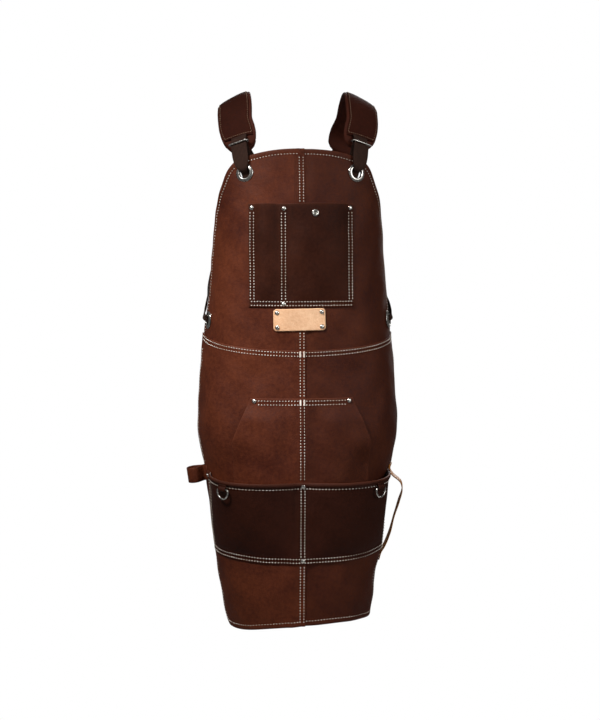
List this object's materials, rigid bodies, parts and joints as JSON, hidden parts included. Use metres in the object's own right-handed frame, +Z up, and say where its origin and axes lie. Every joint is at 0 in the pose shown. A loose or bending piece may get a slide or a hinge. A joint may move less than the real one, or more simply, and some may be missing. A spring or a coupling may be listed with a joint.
{
  "type": "leather work apron",
  "caption": "Worn leather work apron: seamed bib and skirt, chest, hand and tool pockets, D-rings, tool loops, padded shoulders and cross-back webbing through grommets.",
  "frame": {"origin": "midway between the wearer's shoulders, level with the underside of the shoulder pads", "axes": "+Z up, -Y to the front of the apron, +X to the wearer's left"},
  "size_m": [0.3892, 0.2942, 0.9504],
  "materials": {
    "panel_leather": "dark brown waxed leather, matte, fine grain",
    "pocket_leather": "darker brown leather, matte",
    "pad_leather": "dark brown padded leather, matte",
    "label_leather": "natural tan leather, smooth and bare",
    "strap_leather": "tan strap leather, satin",
    "webbing": "woven brown webbing",
    "plated_steel": "nickel-plated steel, polished"
  },
  "bodies": {
    "apron": {"bib_left": "panel_leather", "bib_right": "panel_leather", "skirt_left": "panel_leather", "skirt_right": "panel_leather", "chest_pocket": "pocket_leather", "chest_rivet_1": "plated_steel", "chest_rivet_2": "plated_steel", "chest_rivet_3": "plated_steel", "chest_rivet_4": "plated_steel", "pocket_snap": "plated_steel", "label_patch": "label_leather", "label_rivet_1": "plated_steel", "label_rivet_2": "plated_steel", "label_rivet_3": "plated_steel", "label_rivet_4": "plated_steel", "kangaroo_pocket": "panel_leather", "kangaroo_rivet_left": "plated_steel", "kangaroo_rivet_right": "plated_steel", "tool_pocket": "panel_leather", "tool_rivet_left": "plated_steel", "tool_rivet_centre": "plated_steel", "tool_rivet_right": "plated_steel", "tool_rivet_bottom": "plated_steel", "d_ring_tab_left": "panel_leather", "d_ring_tab_right": "panel_leather", "tool_loop_left": "panel_leather", "tool_loop_right": "strap_leather", "bib_grommet_left": "plated_steel", "bib_grommet_right": "plated_steel", "waist_grommet_left": "plated_steel", "waist_grommet_right": "plated_steel", "shoulder_pad_left": "pad_leather", "shoulder_pad_right": "pad_leather", "front_strap_left": "webbing", "front_strap_right": "webbing", "strap_keeper_left": "plated_steel", "strap_keeper_right": "plated_steel", "back_strap_left": "webbing", "back_strap_right": "webbing"},
    "ring_left": {"d_ring_left": "plated_steel"},
    "ring_right": {"d_ring_right": "plated_steel"}
  },
  "joints": [
    {"name": "d_ring_left_swing", "type": "hinge", "parent": "apron", "child": "ring_left", "pos_m": [-0.13705, -0.12569, -0.66834], "axis": [-0.6918, 0.7221, 0], "range_deg": [0, 150]},
    {"name": "d_ring_right_swing", "type": "hinge", "parent": "apron", "child": "ring_right", "pos_m": [0.13705, -0.1257, -0.66834], "axis": [-0.6919, -0.722, 0], "range_deg": [0, 150]}
  ]
}
